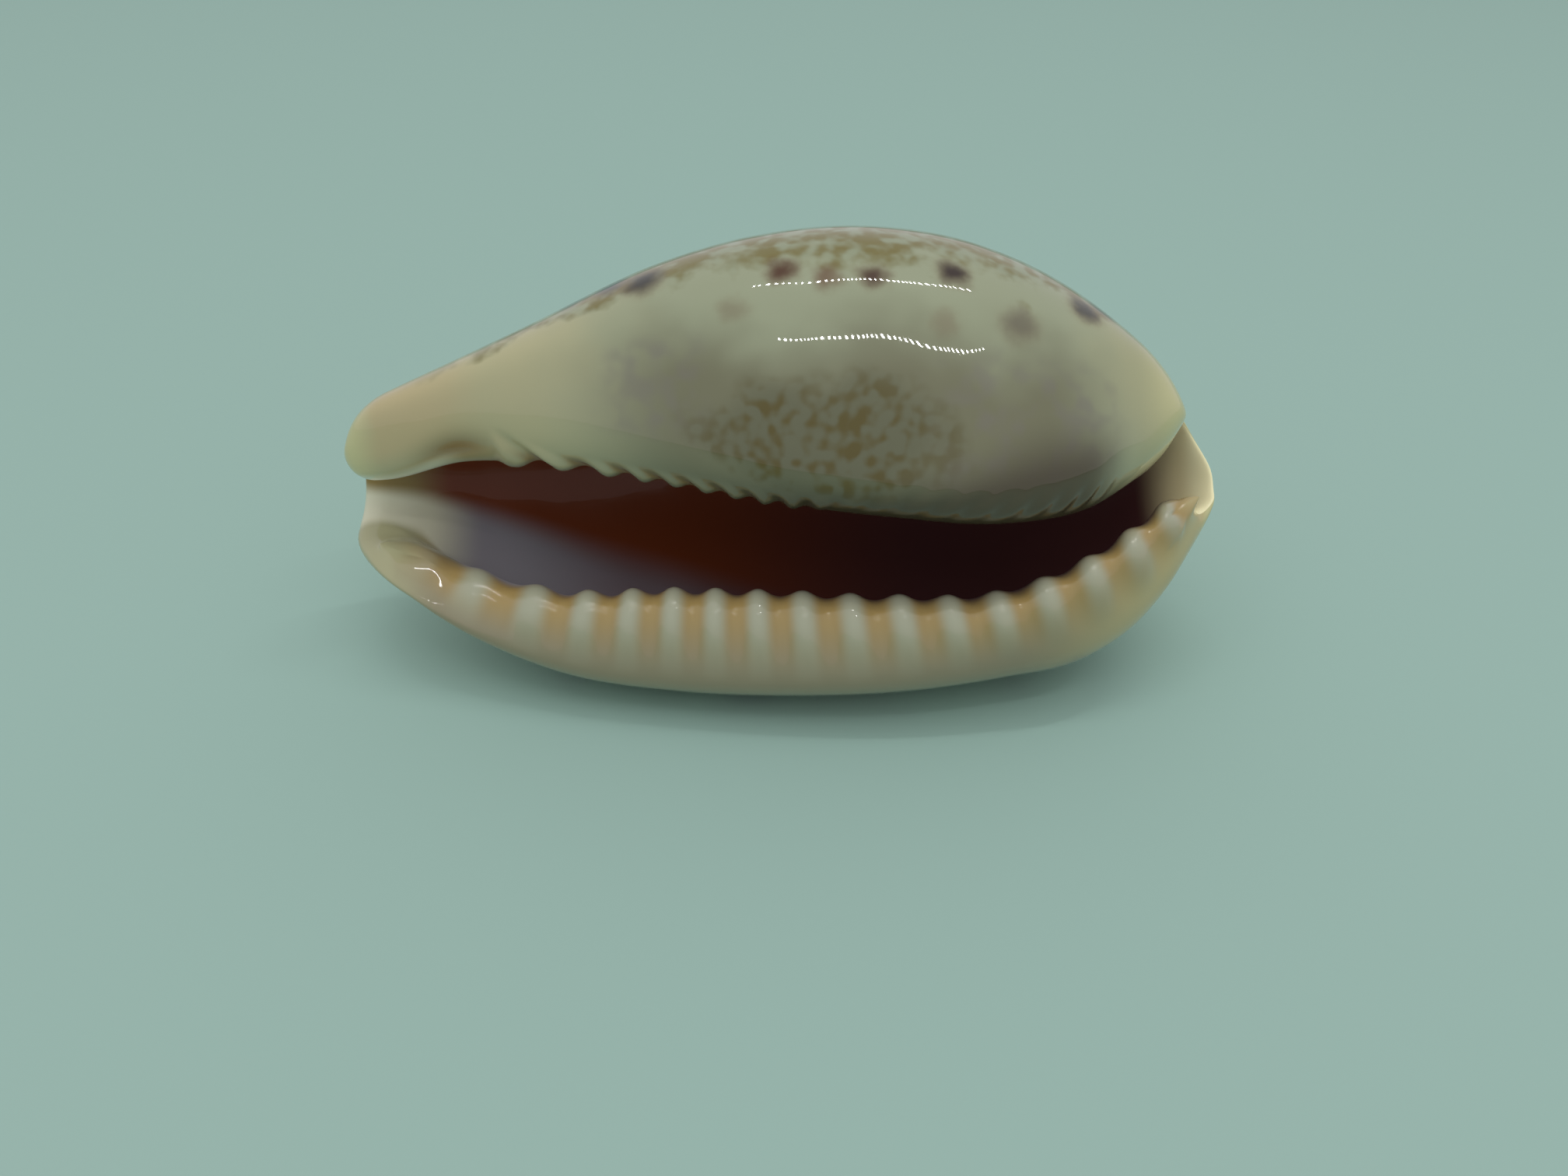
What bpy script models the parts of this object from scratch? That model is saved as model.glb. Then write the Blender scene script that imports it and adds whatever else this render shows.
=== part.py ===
"""Cowrie shell, lying on its lip side with the mouth to the front.

The shell is one rolled wall.  Every cross-section is a closed loop that runs from the
crest of the outer lip round the flank, over the back, down the inner-lip side, round
the fold beside the mouth and back along the inside of the wall.
"""
import math

import bpy
import numpy as np

# ---- driving dimensions -----------------------------------------------------------
SHELL_LENGTH = 0.030      # metres, tip of the front lobes to tip of the rear lobe
REST_FLAT_DEPTH = 0.008   # depth of the worn resting spot, as a share of the length
OUTER_TOOTH_HEIGHT = 0.0105
INNER_TOOTH_HEIGHT = 0.0060
HOLLOW_DEPTH = 0.007       # dimple on the inner lip ahead of its first tooth
FOLD_EDGE = 10.3           # spline place of the edge of the inner lip
RIM_ROUNDING = 1.9        # length of the rounded rims, in half wall thicknesses
CAP_LENGTH = 0.050        # and the longest they get at the two ends
BACK_THINNING = 0.8       # wall of the domed back, as a share of the wall at its sides

# How the shell lies: its long axis rises to the rear and turns a little from the front.
RISE = math.radians(5.0)
YAW = math.radians(2.85)
ROLL = math.radians(0.0)

# ---- shape, as shares of the shell length -----------------------------------------
# Stations along the long axis, front (narrow) end to rear (broad) end.
STATION = [-0.50, -0.44, -0.35, -0.26, -0.12, 0.0, 0.12, 0.25, 0.35, 0.41, 0.455, 0.51]
SHAPE = {
    # body circle: radius and centre (across towards the inner lip, and towards the back)
    "radius":   [.080, .102, .150, .189, .230, .247, .249, .230, .193, .152, .112, .058],
    "centre_p": [.000, .002, -.018, -.030, -.022, -.013, -.014, -.032, -.055, -.058, -.045, -.022],
    "centre_q": [.000, -.012, -.008, -.002, .008, .012, .016, .028, .028, .021, .010, -.016],
    # fullness of the shoulder on the inner-lip side and of the corner under the outer lip
    "shoulder": [1.20, 1.22, 1.21, 1.22, 1.22, 1.21, 1.21, 1.23, 1.28, 1.30, 1.25, 1.10],
    "corner":   [1.16, 1.15, 1.12, 1.10, 1.11, 1.12, 1.12, 1.13, 1.16, 1.18, 1.17, 1.14],
    "flank":    [1.09, 1.09, 1.08, 1.06, 1.06, 1.09, 1.13, 1.145, 1.15, 1.15, 1.14, 1.12],
    # crest of the outer lip
    "crest_p":  [-.044, -.052, -.074, -.079, -.073, -.078, -.087, -.091, -.062, -.042, -.034, -.034],
    "crest_q":  [-.010, -.034, -.073, -.111, -.134, -.145, -.153, -.150, -.130, -.098, -.062, -.024],
    # rounded fold beside the mouth: centre and radius
    "fold_p":   [.046, .050, .073, .077, .072, .060, .044, .026, .014, .020, .034, .044],
    "fold_q":   [.010, .010, .010, .000, -.042, -.080, -.096, -.090, -.045, -.004, .008, .004],
    "fold_r":   [.027, .034, .040, .046, .050, .050, .050, .052, .052, .048, .042, .032],
    # wall thickness, and what the outer lip has on top of it
    "wall":     [.032, .032, .028, .025, .024, .024, .024, .024, .024, .025, .026, .026],
    "lip":      [.002, .003, .024, .040, .050, .054, .054, .054, .048, .038, .026, .008],
    # directions (degrees) where the inside face turns at the lip, fold and inner corner
    "drop":     [.006, .007, .012, .016, .016, .016, .016, .016, .016, .014, .010, .006],
    "lip_turn":  [14, 14, -4, -24, -34, -36, -36, -36, -36, -32, -22, 20],
    "fold_turn": [-200, -203, -212, -225, -232, -232, -232, -232, -228, -218, -208, -202],
    "inner_end": [140, 144, 156, 168, 172, 172, 172, 172, 168, 160, 150, 144],
}
# Rim of the two end notches, from the outer-lip crest round the back to the fold.
RIM_AT = [0.0, 0.15, 0.30, 0.42, 0.50, 0.56, 0.64, 0.78, 0.90, 1.0]
FRONT_RIM = [-.460, -.484, -.494, -.488, -.484, -.480, -.478, -.484, -.476, -.456]
REAR_RIM = [.464, .498, .510, .506, .488, .468, .464, .466, .448, .424]

# Teeth: where along the axis each numbered tooth sits.
OUTER_TOOTH_X = [-.346, -.276, .024, .239, .392, .455]
OUTER_TOOTH_NO = [1, 2, 8, 12, 15, 16.4]
INNER_TOOTH_X = [-.288, -.235, -.182, -.074, .049, .170, .294, .365]
INNER_TOOTH_NO = [1, 2, 3, 6, 10, 14, 18, 21]

# Mesh lines round the loop (crest = 0, fold tip = 11) and how many along the axis.
AROUND = [0, .35, .7, 1.1, 1.6, 2.1, 2.5, 2.8, 3.0, 3.2, 3.5, 4.0, 4.5, 5.0, 5.5, 6.0, 6.5,
          7.0, 7.5, 8.0, 8.5, 9.0, 9.35, 9.7, 10.05, 10.4, 10.7, 11]
SPANS = 22
ROWS = 83
CAP_ROWS = 4


def curve(at, stations, values):
    """Smooth curve through a few stations."""
    xs = np.asarray(stations, float)
    ys = np.asarray(values, float)
    gap = np.diff(xs)
    rise = np.diff(ys) / gap
    slope = np.empty(len(xs))
    slope[1:-1] = (rise[:-1] * gap[1:] + rise[1:] * gap[:-1]) / (gap[1:] + gap[:-1])
    slope[0] = 1.5 * rise[0] - 0.5 * slope[1]
    slope[-1] = 1.5 * rise[-1] - 0.5 * slope[-2]
    i = np.clip(np.searchsorted(xs, at, side="right") - 1, 0, len(xs) - 2)
    t = np.clip((at - xs[i]) / gap[i], 0, 1)
    t2 = t * t
    t3 = t2 * t
    return ((2 * t3 - 3 * t2 + 1) * ys[i] + (t3 - 2 * t2 + t) * gap[i] * slope[i]
            + (3 * t2 - 2 * t3) * ys[i + 1] + (t3 - t2) * gap[i] * slope[i + 1])


def ramp(low, high, value):
    t = np.clip((value - low) / (high - low), 0, 1)
    return t * t * (3 - 2 * t)


def control_points(x):
    """Control polygon of the section at each x: 22 points (p across, q to the back)."""
    v = {name: curve(x, STATION, values) for name, values in SHAPE.items()}
    radius = v["radius"]

    def point(p, q):
        return np.stack([p, q], -1)

    def on_body(angle, fullness=1.108, inside=0.0):
        a = np.radians(angle)
        r = (radius - inside) * fullness
        return point(v["centre_p"] - np.cos(a) * r, v["centre_q"] + np.sin(a) * r)

    def on_fold(angle, fullness=1.135):
        a = np.radians(angle)
        r = v["fold_r"] * fullness
        return point(v["fold_p"] + np.cos(a) * r, v["fold_q"] + np.sin(a) * r)

    def push(share, p, q):
        return (radius * share)[:, None] * np.array([p, q])

    crest = point(v["crest_p"], v["crest_q"])
    corner = on_body(-45, v["corner"])
    shoulder = on_body(176, v["shoulder"] - 0.04)
    keel = on_fold(-62)
    outside = [
        crest,
        (crest + corner) / 2 + push(0.03, -0.3, -1.0),
        corner,
        on_body(0, v["flank"]),
        on_body(45),
        on_body(90),
        on_body(138, v["shoulder"] - 0.005),
        shoulder,
        (shoulder + keel) / 2 + push(0.05, 0.65, -0.76),
        keel,
        on_fold(-115),
        on_fold(-170),
    ]
    wall = v["wall"]
    back = wall * BACK_THINNING
    inner_corner = on_body(v["inner_end"], 1.06, wall + 0.010)
    fold_back = on_fold(v["fold_turn"], 1.12)
    inside = [
        point(v["crest_p"] - v["drop"] - 0.3 * v["lip"], v["crest_q"] + 0.030 + 0.7 * v["lip"]),
        on_body(v["lip_turn"], 1.06, wall + v["lip"]),
        on_body(0.35 * (v["lip_turn"] + 36), 1.108, wall + 0.006),
        on_body(45, 1.108, back),
        on_body(90, 1.108, back),
        on_body(135 - 0.8 * (172 - v["inner_end"]), 1.108, back),
        inner_corner,
        0.6 * inner_corner + 0.4 * fold_back - push(0.02, 0.65, -0.76),
        0.3 * inner_corner + 0.7 * fold_back,
        fold_back,
    ]
    return np.stack(outside + inside[::-1], 1)


def on_loop(points, t):
    """Closed cubic spline through the control polygon, t counted in spans."""
    i = int(math.floor(t))
    f = t - i
    weight = [(1 - f) ** 3 / 6, (3 * f ** 3 - 6 * f ** 2 + 4) / 6,
              (-3 * f ** 3 + 3 * f ** 2 + 3 * f + 1) / 6, f ** 3 / 6]
    return sum(points[:, (i + k - 1) % SPANS] * weight[k] for k in range(4))


def surface():
    """Grid of points (rows along the axis, columns round the loop) before the teeth."""
    around = np.array(AROUND + [SPANS - t for t in AROUND[-2:0:-1]])
    opposite = (-np.arange(len(around))) % len(around)
    along_rim = np.minimum(around, SPANS - around) / 11
    front_rim = curve(along_rim, RIM_AT, FRONT_RIM)
    rear_rim = curve(along_rim, RIM_AT, REAR_RIM)

    def section(x_of_column):
        return np.stack([on_loop(control_points(np.array([x])), t)[0]
                         for x, t in zip(x_of_column, around)])

    def half_thickness(loop):
        return np.linalg.norm(loop - loop[opposite], axis=-1) / 2

    def rounding(loop):
        return np.minimum(half_thickness(loop) * RIM_ROUNDING, CAP_LENGTH)

    front_cap = rounding(section(front_rim + 0.03))
    rear_cap = rounding(section(rear_rim - 0.03))
    first_x = front_rim + front_cap
    last_x = rear_rim - rear_cap

    def rim_row(x, turn):
        # the wall closes in on its middle line as the row nears the edge
        loop = section(x)
        middle = (loop + loop[opposite]) / 2
        return np.column_stack([x, middle + math.sin(turn) * (loop - middle)])

    turns = [math.pi / 2 * k / CAP_ROWS for k in range(CAP_ROWS)]
    rows = [rim_row(front_rim + front_cap * (1 - math.cos(turn)), turn) for turn in turns]
    for k in range(ROWS):
        u = k / (ROWS - 1)
        u = u - 0.035 * math.sin(2 * math.pi * u)
        x = first_x + u * (last_x - first_x)
        rows.append(np.column_stack([x, section(x)]))
    rows += [rim_row(rear_rim - rear_cap * (1 - math.cos(turn)), turn) for turn in reversed(turns)]
    return np.array(rows), around


def outward(grid):
    """Unit normals of the grid, pointing out of the wall."""
    along = np.gradient(grid, axis=0)
    round_loop = np.roll(grid, -1, 1) - np.roll(grid, 1, 1)
    normal = np.cross(along, round_loop)
    length = np.linalg.norm(normal, axis=-1, keepdims=True)
    return normal / np.maximum(length, 1e-9)


def tooth_height(grid, around):
    """Height of the ridges that cross both lips."""
    x = grid[..., 0]
    t = np.where(around > 11, around - SPANS, around)[None, :]

    fan = 1 - 0.045 * np.maximum(t, 0)
    outer_no = curve(x * fan, OUTER_TOOTH_X, OUTER_TOOTH_NO)
    outer = (0.5 + 0.5 * np.cos(2 * math.pi * outer_no)) ** 1.2 - 0.35
    outer_mask = (ramp(-1.3, -0.4, t) * (1 - ramp(0.4, 1.3, t))
                  * ramp(-0.385, -0.350, x) * (1 - ramp(0.430, 0.470, x)))

    # the inner ridges lean away from each other and flatten out towards the rear
    t_fold = around[None, :]
    lean = 0.030 - 0.065 * ramp(-0.10, 0.22, x)
    inner_no = curve(x - lean * np.minimum(t_fold - FOLD_EDGE, 0), INNER_TOOTH_X, INNER_TOOTH_NO)
    inner = (0.5 + 0.5 * np.cos(2 * math.pi * inner_no)) - 0.4
    last_t = 13.0 - 2.6 * ramp(-0.06, 0.08, x)
    bolder = 1 + 0.6 * (1 - ramp(-0.24, -0.10, x)) - 0.4 * ramp(0.00, 0.14, x)
    first_t = 9.75 - 0.6 * (1 - ramp(-0.32, -0.22, x)) - 0.55 * ramp(0.00, 0.15, x)
    inner_mask = (ramp(first_t - 0.3, first_t + 0.5, t_fold) * bolder
                  * (1 - ramp(last_t - 0.7, last_t, t_fold))
                  * ramp(-0.312, -0.292, x) * (1 - ramp(0.350, 0.385, x)))
    hollow = np.exp(-((x + 0.350) / 0.040) ** 2 - ((t_fold - 9.85) / 0.55) ** 2)
    return (OUTER_TOOTH_HEIGHT * outer * outer_mask + INNER_TOOTH_HEIGHT * inner * inner_mask
            - HOLLOW_DEPTH * hollow)


def lay_down(points):
    """From the shell's own axes (x, p, q) to the resting pose: X right, Y back, Z up."""
    x, p, q = points[..., 0], points[..., 1], points[..., 2]
    p, q = (p * math.cos(ROLL) - q * math.sin(ROLL), p * math.sin(ROLL) + q * math.cos(ROLL))
    right = x * math.cos(RISE) - p * math.sin(RISE)
    up = x * math.sin(RISE) + p * math.cos(RISE)
    return np.stack([right * math.cos(YAW) - q * math.sin(YAW),
                     right * math.sin(YAW) + q * math.cos(YAW), up], -1)


def build_shell():
    grid, around = surface()
    height = tooth_height(grid, around)
    height[:CAP_ROWS + 1] = 0
    height[-CAP_ROWS - 1:] = 0
    grid = grid + outward(grid) * height[..., None]
    grid = lay_down(grid)
    lowest = grid[..., 2].min() + REST_FLAT_DEPTH
    grid[..., 2] = np.maximum(grid[..., 2] - lowest, 0)
    plan = grid[..., :2].reshape(-1, 2)
    grid[..., :2] -= (plan.min(0) + plan.max(0)) / 2
    grid = grid * SHELL_LENGTH

    rows, columns = grid.shape[:2]
    half = columns // 2
    number = np.arange(rows * columns).reshape(rows, columns)
    for end in (0, rows - 1):
        for j in range(1, half):
            number[end, columns - j] = number[end, j]
    used = np.unique(number)
    renumber = {old: new for new, old in enumerate(used)}
    vertices = grid.reshape(-1, 3)[used]

    faces = []
    for i in range(rows - 1):
        for j in range(columns):
            k = (j + 1) % columns
            corners = [number[i, j], number[i, k], number[i + 1, k], number[i + 1, j]]
            face = []
            for c in corners:
                if renumber[c] not in face:
                    face.append(renumber[c])
            faces.append(face)

    mesh = bpy.data.meshes.new("shell")
    mesh.from_pydata([tuple(v) for v in vertices], [], faces)
    mesh.validate()
    mesh.shade_smooth()
    shell = bpy.data.objects.new("shell", mesh)
    bpy.context.collection.objects.link(shell)

    enamel = bpy.data.materials.new("shell enamel")
    enamel.use_nodes = True
    surface_node = enamel.node_tree.nodes["Principled BSDF"]
    surface_node.inputs["Base Color"].default_value = (0.78, 0.70, 0.55, 1)
    surface_node.inputs["Roughness"].default_value = 0.2
    mesh.materials.append(enamel)
    return shell


for thing in list(bpy.data.objects):
    bpy.data.objects.remove(thing, do_unlink=True)
build_shell()
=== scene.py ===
import math

import bpy
import numpy as np
from mathutils import Matrix, Vector


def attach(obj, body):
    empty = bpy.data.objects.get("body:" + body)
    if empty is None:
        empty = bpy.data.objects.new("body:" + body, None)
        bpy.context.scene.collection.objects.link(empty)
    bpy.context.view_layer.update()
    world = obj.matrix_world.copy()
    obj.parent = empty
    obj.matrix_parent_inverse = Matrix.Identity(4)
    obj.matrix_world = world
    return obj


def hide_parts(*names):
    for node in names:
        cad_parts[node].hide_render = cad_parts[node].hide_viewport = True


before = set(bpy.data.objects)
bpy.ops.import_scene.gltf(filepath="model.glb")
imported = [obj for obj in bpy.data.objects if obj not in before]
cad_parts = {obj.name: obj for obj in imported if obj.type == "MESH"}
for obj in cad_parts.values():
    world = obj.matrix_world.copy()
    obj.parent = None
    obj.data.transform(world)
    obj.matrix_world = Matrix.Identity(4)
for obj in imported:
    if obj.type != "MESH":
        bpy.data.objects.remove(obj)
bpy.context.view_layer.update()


# ---- shell -------------------------------------------------------------------------
# A cowrie grows as one wall of aragonite rolled round its own axis.  The last turn hides
# all the others, and its edge curls in to make the two lips of the long, toothed mouth.
# The living mantle then glazes the whole outside, so every edge is rounded and polished.

SHELL_LENGTH = 0.030       # metres, front lobes to rear lobe
REST_FLAT_DEPTH = 0.008    # worn resting spot, as a share of the length
RIM_ROUNDING = 1.9         # length of the rounded rims, in half wall thicknesses
CAP_LENGTH = 0.050         # but never more than this share of the length
BACK_THINNING = 0.8        # wall of the domed back, as a share of the wall at its sides
RISE = math.radians(5.0)   # the long axis rises towards the broad rear end
YAW = math.radians(2.85)   # and turns a little away from the front

# Sections along the axis, front (narrow) end to rear (broad) end, as shares of the length.
STATION = [-0.50, -0.44, -0.35, -0.26, -0.12, 0.0, 0.12, 0.25, 0.35, 0.41, 0.455, 0.51]
SHAPE = {
    # body circle: radius and centre (across towards the inner lip, and towards the back)
    "radius":   [.080, .102, .150, .189, .230, .247, .249, .230, .193, .152, .112, .058],
    "centre_p": [.000, .002, -.018, -.030, -.022, -.013, -.014, -.032, -.055, -.058, -.045, -.022],
    "centre_q": [.000, -.012, -.008, -.002, .008, .012, .016, .028, .028, .021, .010, -.016],
    # fullness of the shoulder on the inner-lip side and of the corner under the outer lip
    "shoulder": [1.20, 1.22, 1.21, 1.22, 1.22, 1.21, 1.21, 1.23, 1.28, 1.30, 1.25, 1.10],
    "corner":   [1.16, 1.15, 1.12, 1.10, 1.11, 1.12, 1.12, 1.13, 1.16, 1.18, 1.17, 1.14],
    "flank":    [1.09, 1.09, 1.08, 1.06, 1.06, 1.09, 1.13, 1.145, 1.15, 1.15, 1.14, 1.12],
    # crest of the outer lip
    "crest_p":  [-.044, -.052, -.074, -.079, -.073, -.078, -.087, -.091, -.062, -.042, -.034, -.034],
    "crest_q":  [-.010, -.034, -.073, -.111, -.134, -.145, -.153, -.150, -.130, -.098, -.062, -.024],
    # rounded fold beside the mouth: centre and radius
    "fold_p":   [.046, .050, .073, .077, .072, .060, .044, .026, .014, .020, .034, .044],
    "fold_q":   [.010, .010, .010, .000, -.042, -.080, -.096, -.090, -.045, -.004, .008, .004],
    "fold_r":   [.027, .034, .040, .046, .050, .050, .050, .052, .052, .048, .042, .032],
    # wall thickness, what the outer lip has on top of it, and the step down behind its crest
    "wall":     [.040, .040, .031, .025, .024, .024, .024, .024, .024, .026, .031, .036],
    "lip":      [.002, .003, .024, .040, .050, .054, .054, .054, .048, .038, .026, .008],
    "drop":     [.002, .002, .010, .016, .016, .016, .016, .016, .016, .012, .005, .002],
    # directions (degrees) where the inside face turns at the lip, fold and inner corner
    "lip_turn":  [14, 14, -4, -24, -34, -36, -36, -36, -36, -32, -22, 20],
    "fold_turn": [-200, -203, -212, -225, -232, -232, -232, -232, -228, -218, -208, -202],
    "inner_end": [140, 144, 156, 168, 172, 172, 172, 172, 168, 160, 150, 144],
}
# Rim of the two end notches, from the outer-lip crest round the back to the fold.
RIM_AT = [0.0, 0.15, 0.30, 0.42, 0.50, 0.56, 0.64, 0.78, 0.90, 1.0]
FRONT_RIM = [-.460, -.484, -.494, -.488, -.484, -.480, -.478, -.484, -.476, -.456]
REAR_RIM = [.481, .495, .508, .506, .488, .468, .464, .466, .448, .424]

SPANS = 22                 # spans of the closed spline round one section
FOLD_TIP = 11              # the spline runs 0 at the lip crest, 11 at the fold, 22 again
ROUND = 1.108              # how far out control points 45 degrees apart stand to draw a circle
FOLD_ROUND = 1.135         # the same for the wider steps round the fold
INNER_ROUND = 1.06         # and for the tighter inside corners
CAP_ROWS = 10              # mesh rows over each rounded rim
ROWS = 372                 # mesh rows between the rims
ROW_CROWDING = 0.035       # how much closer those rows stand at both ends


def curve(at, stations, values):
    """Smooth curve through a few stations."""
    xs = np.asarray(stations, float)
    ys = np.asarray(values, float)
    gap = np.diff(xs)
    rise = np.diff(ys) / gap
    slope = np.empty(len(xs))
    slope[1:-1] = (rise[:-1] * gap[1:] + rise[1:] * gap[:-1]) / (gap[1:] + gap[:-1])
    slope[0] = 1.5 * rise[0] - 0.5 * slope[1]
    slope[-1] = 1.5 * rise[-1] - 0.5 * slope[-2]
    i = np.clip(np.searchsorted(xs, at, side="right") - 1, 0, len(xs) - 2)
    t = np.clip((at - xs[i]) / gap[i], 0, 1)
    t2 = t * t
    t3 = t2 * t
    return ((2 * t3 - 3 * t2 + 1) * ys[i] + (t3 - 2 * t2 + t) * gap[i] * slope[i]
            + (3 * t2 - 2 * t3) * ys[i + 1] + (t3 - t2) * gap[i] * slope[i + 1])


def ramp(low, high, value):
    """0 at low and 1 at high with soft shoulders; low may be above high."""
    t = np.clip((value - low) / (high - low), 0, 1)
    return t * t * (3 - 2 * t)


def control_points(x):
    """Control polygon of the section at each x: 22 points (p across, q to the back)."""
    v = {name: curve(x, STATION, values) for name, values in SHAPE.items()}
    radius = v["radius"]

    def point(p, q):
        return np.stack([p, q], -1)

    def on_body(angle, fullness=ROUND, inside=0.0):
        a = np.radians(angle)
        r = (radius - inside) * fullness
        return point(v["centre_p"] - np.cos(a) * r, v["centre_q"] + np.sin(a) * r)

    def on_fold(angle, fullness=FOLD_ROUND):
        a = np.radians(angle)
        r = v["fold_r"] * fullness
        return point(v["fold_p"] + np.cos(a) * r, v["fold_q"] + np.sin(a) * r)

    def push(share, p, q):
        return (radius * share)[:, None] * np.array([p, q])

    crest = point(v["crest_p"], v["crest_q"])
    corner = on_body(-45, v["corner"])
    shoulder = on_body(176, v["shoulder"] - 0.04)
    keel = on_fold(-62)
    outside = [
        crest,
        (crest + corner) / 2 + push(0.03, -0.3, -1.0),
        corner,
        on_body(0, v["flank"]),
        on_body(45),
        on_body(90),
        on_body(138, v["shoulder"] - 0.005),
        shoulder,
        (shoulder + keel) / 2 + push(0.05, 0.65, -0.76),
        keel,
        on_fold(-115),
        on_fold(-170),
    ]
    wall = v["wall"]
    back = wall * BACK_THINNING
    inner_corner = on_body(v["inner_end"], INNER_ROUND, wall + 0.010)
    fold_back = on_fold(v["fold_turn"], 1.12)
    inside = [
        point(v["crest_p"] - v["drop"] - 0.3 * v["lip"], v["crest_q"] + 0.030 + 0.7 * v["lip"]),
        on_body(v["lip_turn"], INNER_ROUND, wall + v["lip"]),
        on_body(0.35 * (v["lip_turn"] + 36), ROUND, wall + 0.006),
        on_body(45, ROUND, back),
        on_body(90, ROUND, back),
        on_body(135 - 0.8 * (172 - v["inner_end"]), ROUND, back),
        inner_corner,
        0.6 * inner_corner + 0.4 * fold_back - push(0.02, 0.65, -0.76),
        0.3 * inner_corner + 0.7 * fold_back,
        fold_back,
    ]
    return np.stack(outside + inside[::-1], 1)


def section(x, t):
    """Points (p, q) on the closed splines at x, t counted in spans; x and t alike in shape."""
    points = control_points(x.ravel())
    span = np.floor(t.ravel()).astype(int)
    f = t.ravel() - span
    weight = np.stack([(1 - f) ** 3 / 6, (3 * f ** 3 - 6 * f ** 2 + 4) / 6,
                       (-3 * f ** 3 + 3 * f ** 2 + 3 * f + 1) / 6, f ** 3 / 6], -1)
    four = (span[:, None] + np.arange(-1, 3)) % SPANS
    loop = (np.take_along_axis(points, four[..., None], 1) * weight[..., None]).sum(1)
    return loop.reshape(x.shape + (2,))


def lay_down(points):
    """From the shell's own axes (x, p, q) to the resting pose: X right, Y back, Z up."""
    x, p, q = points[..., 0], points[..., 1], points[..., 2]
    right = x * math.cos(RISE) - p * math.sin(RISE)
    up = x * math.sin(RISE) + p * math.cos(RISE)
    return np.stack([right * math.cos(YAW) - q * math.sin(YAW),
                     right * math.sin(YAW) + q * math.cos(YAW), up], -1)


# Mesh lines round the loop stand close together on both lips, where the teeth are.
OUTER_TEETH_END, INNER_TEETH_START = 1.8, 8.6
one_side = np.concatenate([np.arange(0, OUTER_TEETH_END, 0.05),
                           np.linspace(OUTER_TEETH_END, INNER_TEETH_START, 41)[:-1],
                           np.linspace(INNER_TEETH_START, FOLD_TIP, 45)])
around = np.concatenate([one_side, SPANS - one_side[-2:0:-1]])
opposite = (-np.arange(len(around))) % len(around)
along_rim = np.minimum(around, SPANS - around) / FOLD_TIP
front_rim = curve(along_rim, RIM_AT, FRONT_RIM)
rear_rim = curve(along_rim, RIM_AT, REAR_RIM)
BEHIND_RIM = 0.03          # the rims are rounded by the thickness of the wall this far in


def rounding(x):
    """Length of the rounded rim, from the thickness of the wall at x."""
    loop = section(x, around)
    half_thickness = np.linalg.norm(loop - loop[opposite], axis=-1) / 2
    return np.minimum(half_thickness * RIM_ROUNDING, CAP_LENGTH)


front_cap = rounding(front_rim + BEHIND_RIM)
rear_cap = rounding(rear_rim - BEHIND_RIM)
cap_turn = math.pi / 2 * np.arange(CAP_ROWS)[:, None] / CAP_ROWS
step = np.linspace(0, 1, ROWS)[:, None]
step = step - ROW_CROWDING * np.sin(2 * math.pi * step)
first_x = front_rim + front_cap
last_x = rear_rim - rear_cap
x_grid = np.concatenate([front_rim + front_cap * (1 - np.cos(cap_turn)),
                         first_x + step * (last_x - first_x),
                         (rear_rim - rear_cap * (1 - np.cos(cap_turn)))[::-1]])
t_grid = np.broadcast_to(around, x_grid.shape)
fullness = np.concatenate([np.sin(cap_turn), np.ones((ROWS, 1)), np.sin(cap_turn)[::-1]])
loops = section(x_grid, t_grid)
middle = (loops + loops[:, opposite]) / 2
loops = middle + fullness[..., None] * (loops - middle)
grid = lay_down(np.dstack([x_grid, loops]))
signed_t = np.where(t_grid > FOLD_TIP, t_grid - SPANS, t_grid)

# Both ends of the outer lip are rolled rims with no edge: the glaze is thick there.
GLAZE_LAYERS = 110         # each layer draws a point part of the way to its neighbours
GLAZE_DRAW = 0.5
rolled = np.maximum(ramp(-0.39, -0.45, x_grid), ramp(0.43, 0.48, x_grid))
rolled = (rolled * (1 - ramp(1.0, 3.0, np.abs(signed_t))))[..., None]
for layer in range(GLAZE_LAYERS):
    beside = np.roll(grid, 1, 1) + np.roll(grid, -1, 1)
    before = np.concatenate([grid[1:2, opposite], grid[:-1]])
    after = np.concatenate([grid[1:], grid[-2:-1, opposite]])
    grid = grid + GLAZE_DRAW * rolled * ((beside + before + after) / 4 - grid)

# The lowest spot is worn flat, and the origin is under the middle of the plan.
floor_level = grid[..., 2].min() + REST_FLAT_DEPTH
plan = grid[..., :2].reshape(-1, 2)
plan_middle = (plan.min(0) + plan.max(0)) / 2


def stand(points):
    """Laid-down points, in shares of the length, to metres on the ground."""
    placed = points - np.array([plan_middle[0], plan_middle[1], floor_level])
    placed[..., 2] = np.maximum(placed[..., 2], 0)
    return placed * SHELL_LENGTH


def spot_place(along, round_loop):
    """Where a mark sits on the outside of the wall, in metres."""
    x = np.array([along])
    p_q = section(x, np.array([float(round_loop)]))
    return stand(lay_down(np.column_stack([x, p_q])))[0]


vertices = stand(grid)
rows, columns = x_grid.shape
number = np.arange(rows * columns).reshape(rows, columns)
for end in (0, rows - 1):
    number[end, opposite[1:columns // 2]] = number[end, 1:columns // 2]
used, packed = np.unique(number, return_inverse=True)
packed = packed.reshape(rows, columns)
right = np.roll(packed, -1, 1)
faces = np.stack([packed[:-1], right[:-1], right[1:], packed[1:]], -1).reshape(-1, 4)
across = np.arange(columns + 1) / columns
length_share = np.arange(rows) / (rows - 1)

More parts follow.
